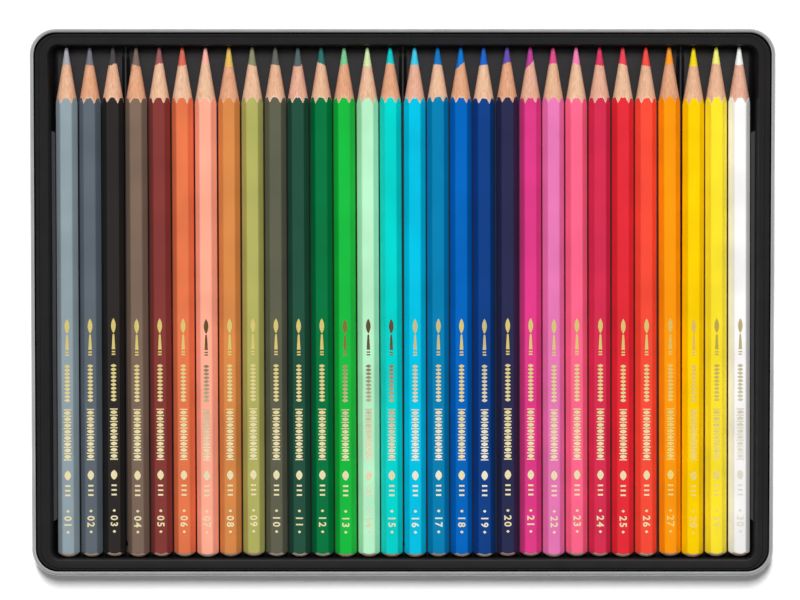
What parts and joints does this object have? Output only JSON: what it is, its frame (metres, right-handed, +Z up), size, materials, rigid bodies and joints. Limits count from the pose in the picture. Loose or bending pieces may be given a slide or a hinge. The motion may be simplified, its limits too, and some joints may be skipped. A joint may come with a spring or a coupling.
{
  "type": "colored pencil tin",
  "caption": "Open flat tin with a curled rim and a black formed insert that holds a single row of hexagonal colored pencils; the pencils and the insert lift out.",
  "frame": {"origin": "middle of the tin's footprint, on the surface it stands on", "axes": "+X along the row of pencils (the tin's long side), +Y along the pencils towards their points, +Z up out of the open tin"},
  "size_m": [0.2538, 0.1876, 0.011],
  "materials": {
    "tinplate": "satin",
    "black_plastic": "semi-matt",
    "lacquer_light_grey": "gloss lacquer over wood",
    "lacquer_slate_grey": "gloss lacquer over wood",
    "lacquer_black": "gloss lacquer over wood",
    "lacquer_taupe": "gloss lacquer over wood",
    "lacquer_maroon": "gloss lacquer over wood",
    "lacquer_rust": "gloss lacquer over wood",
    "lacquer_salmon": "gloss lacquer over wood",
    "lacquer_ochre": "gloss lacquer over wood",
    "lacquer_olive": "gloss lacquer over wood",
    "lacquer_olive_grey": "gloss lacquer over wood",
    "lacquer_pine_green": "gloss lacquer over wood",
    "lacquer_emerald": "gloss lacquer over wood",
    "lacquer_leaf_green": "gloss lacquer over wood",
    "lacquer_mint": "gloss lacquer over wood",
    "lacquer_turquoise": "gloss lacquer over wood",
    "lacquer_sky_blue": "gloss lacquer over wood",
    "lacquer_cerulean": "gloss lacquer over wood",
    "lacquer_cobalt_blue": "gloss lacquer over wood",
    "lacquer_royal_blue": "gloss lacquer over wood",
    "lacquer_indigo": "gloss lacquer over wood",
    "lacquer_magenta": "gloss lacquer over wood",
    "lacquer_orchid": "gloss lacquer over wood",
    "lacquer_pink": "gloss lacquer over wood",
    "lacquer_crimson": "gloss lacquer over wood",
    "lacquer_red": "gloss lacquer over wood",
    "lacquer_vermilion": "gloss lacquer over wood",
    "lacquer_orange": "gloss lacquer over wood",
    "lacquer_golden_yellow": "gloss lacquer over wood",
    "lacquer_lemon_yellow": "gloss lacquer over wood",
    "lacquer_white": "gloss lacquer over wood"
  },
  "bodies": {
    "tin": {"tin_base": "tinplate"},
    "insert": {"insert_tray": "black_plastic"},
    "light_grey_pencil": {"pencil_light_grey": "lacquer_light_grey"},
    "slate_grey_pencil": {"pencil_slate_grey": "lacquer_slate_grey"},
    "black_pencil": {"pencil_black": "lacquer_black"},
    "taupe_pencil": {"pencil_taupe": "lacquer_taupe"},
    "maroon_pencil": {"pencil_maroon": "lacquer_maroon"},
    "rust_pencil": {"pencil_rust": "lacquer_rust"},
    "salmon_pencil": {"pencil_salmon": "lacquer_salmon"},
    "ochre_pencil": {"pencil_ochre": "lacquer_ochre"},
    "olive_pencil": {"pencil_olive": "lacquer_olive"},
    "olive_grey_pencil": {"pencil_olive_grey": "lacquer_olive_grey"},
    "pine_green_pencil": {"pencil_pine_green": "lacquer_pine_green"},
    "emerald_pencil": {"pencil_emerald": "lacquer_emerald"},
    "leaf_green_pencil": {"pencil_leaf_green": "lacquer_leaf_green"},
    "mint_pencil": {"pencil_mint": "lacquer_mint"},
    "turquoise_pencil": {"pencil_turquoise": "lacquer_turquoise"},
    "sky_blue_pencil": {"pencil_sky_blue": "lacquer_sky_blue"},
    "cerulean_pencil": {"pencil_cerulean": "lacquer_cerulean"},
    "cobalt_blue_pencil": {"pencil_cobalt_blue": "lacquer_cobalt_blue"},
    "royal_blue_pencil": {"pencil_royal_blue": "lacquer_royal_blue"},
    "indigo_pencil": {"pencil_indigo": "lacquer_indigo"},
    "magenta_pencil": {"pencil_magenta": "lacquer_magenta"},
    "orchid_pencil": {"pencil_orchid": "lacquer_orchid"},
    "pink_pencil": {"pencil_pink": "lacquer_pink"},
    "crimson_pencil": {"pencil_crimson": "lacquer_crimson"},
    "red_pencil": {"pencil_red": "lacquer_red"},
    "vermilion_pencil": {"pencil_vermilion": "lacquer_vermilion"},
    "orange_pencil": {"pencil_orange": "lacquer_orange"},
    "golden_yellow_pencil": {"pencil_golden_yellow": "lacquer_golden_yellow"},
    "lemon_yellow_pencil": {"pencil_lemon_yellow": "lacquer_lemon_yellow"},
    "white_pencil": {"pencil_white": "lacquer_white"}
  },
  "joints": [
    {"name": "insert_lift", "type": "slide", "parent": "tin", "child": "insert", "axis": [0, 0, 1], "range_m": [0, 0.03]},
    {"name": "light_grey_lift", "type": "slide", "parent": "insert", "child": "light_grey_pencil", "axis": [0, 0, 1], "range_m": [0, 0.03]},
    {"name": "slate_grey_lift", "type": "slide", "parent": "insert", "child": "slate_grey_pencil", "axis": [0, 0, 1], "range_m": [0, 0.03]},
    {"name": "black_lift", "type": "slide", "parent": "insert", "child": "black_pencil", "axis": [0, 0, 1], "range_m": [0, 0.03]},
    {"name": "taupe_lift", "type": "slide", "parent": "insert", "child": "taupe_pencil", "axis": [0, 0, 1], "range_m": [0, 0.03]},
    {"name": "maroon_lift", "type": "slide", "parent": "insert", "child": "maroon_pencil", "axis": [0, 0, 1], "range_m": [0, 0.03]},
    {"name": "rust_lift", "type": "slide", "parent": "insert", "child": "rust_pencil", "axis": [0, 0, 1], "range_m": [0, 0.03]},
    {"name": "salmon_lift", "type": "slide", "parent": "insert", "child": "salmon_pencil", "axis": [0, 0, 1], "range_m": [0, 0.03]},
    {"name": "ochre_lift", "type": "slide", "parent": "insert", "child": "ochre_pencil", "axis": [0, 0, 1], "range_m": [0, 0.03]},
    {"name": "olive_lift", "type": "slide", "parent": "insert", "child": "olive_pencil", "axis": [0, 0, 1], "range_m": [0, 0.03]},
    {"name": "olive_grey_lift", "type": "slide", "parent": "insert", "child": "olive_grey_pencil", "axis": [0, 0, 1], "range_m": [0, 0.03]},
    {"name": "pine_green_lift", "type": "slide", "parent": "insert", "child": "pine_green_pencil", "axis": [0, 0, 1], "range_m": [0, 0.03]},
    {"name": "emerald_lift", "type": "slide", "parent": "insert", "child": "emerald_pencil", "axis": [0, 0, 1], "range_m": [0, 0.03]},
    {"name": "leaf_green_lift", "type": "slide", "parent": "insert", "child": "leaf_green_pencil", "axis": [0, 0, 1], "range_m": [0, 0.03]},
    {"name": "mint_lift", "type": "slide", "parent": "insert", "child": "mint_pencil", "axis": [0, 0, 1], "range_m": [0, 0.03]},
    {"name": "turquoise_lift", "type": "slide", "parent": "insert", "child": "turquoise_pencil", "axis": [0, 0, 1], "range_m": [0, 0.03]},
    {"name": "sky_blue_lift", "type": "slide", "parent": "insert", "child": "sky_blue_pencil", "axis": [0, 0, 1], "range_m": [0, 0.03]},
    {"name": "cerulean_lift", "type": "slide", "parent": "insert", "child": "cerulean_pencil", "axis": [0, 0, 1], "range_m": [0, 0.03]},
    {"name": "cobalt_blue_lift", "type": "slide", "parent": "insert", "child": "cobalt_blue_pencil", "axis": [0, 0, 1], "range_m": [0, 0.03]},
    {"name": "royal_blue_lift", "type": "slide", "parent": "insert", "child": "royal_blue_pencil", "axis": [0, 0, 1], "range_m": [0, 0.03]},
    {"name": "indigo_lift", "type": "slide", "parent": "insert", "child": "indigo_pencil", "axis": [0, 0, 1], "range_m": [0, 0.03]},
    {"name": "magenta_lift", "type": "slide", "parent": "insert", "child": "magenta_pencil", "axis": [0, 0, 1], "range_m": [0, 0.03]},
    {"name": "orchid_lift", "type": "slide", "parent": "insert", "child": "orchid_pencil", "axis": [0, 0, 1], "range_m": [0, 0.03]},
    {"name": "pink_lift", "type": "slide", "parent": "insert", "child": "pink_pencil", "axis": [0, 0, 1], "range_m": [0, 0.03]},
    {"name": "crimson_lift", "type": "slide", "parent": "insert", "child": "crimson_pencil", "axis": [0, 0, 1], "range_m": [0, 0.03]},
    {"name": "red_lift", "type": "slide", "parent": "insert", "child": "red_pencil", "axis": [0, 0, 1], "range_m": [0, 0.03]},
    {"name": "vermilion_lift", "type": "slide", "parent": "insert", "child": "vermilion_pencil", "axis": [0, 0, 1], "range_m": [0, 0.03]},
    {"name": "orange_lift", "type": "slide", "parent": "insert", "child": "orange_pencil", "axis": [0, 0, 1], "range_m": [0, 0.03]},
    {"name": "golden_yellow_lift", "type": "slide", "parent": "insert", "child": "golden_yellow_pencil", "axis": [0, 0, 1], "range_m": [0, 0.03]},
    {"name": "lemon_yellow_lift", "type": "slide", "parent": "insert", "child": "lemon_yellow_pencil", "axis": [0, 0, 1], "range_m": [0, 0.03]},
    {"name": "white_lift", "type": "slide", "parent": "insert", "child": "white_pencil", "axis": [0, 0, 1], "range_m": [0, 0.03]}
  ]
}
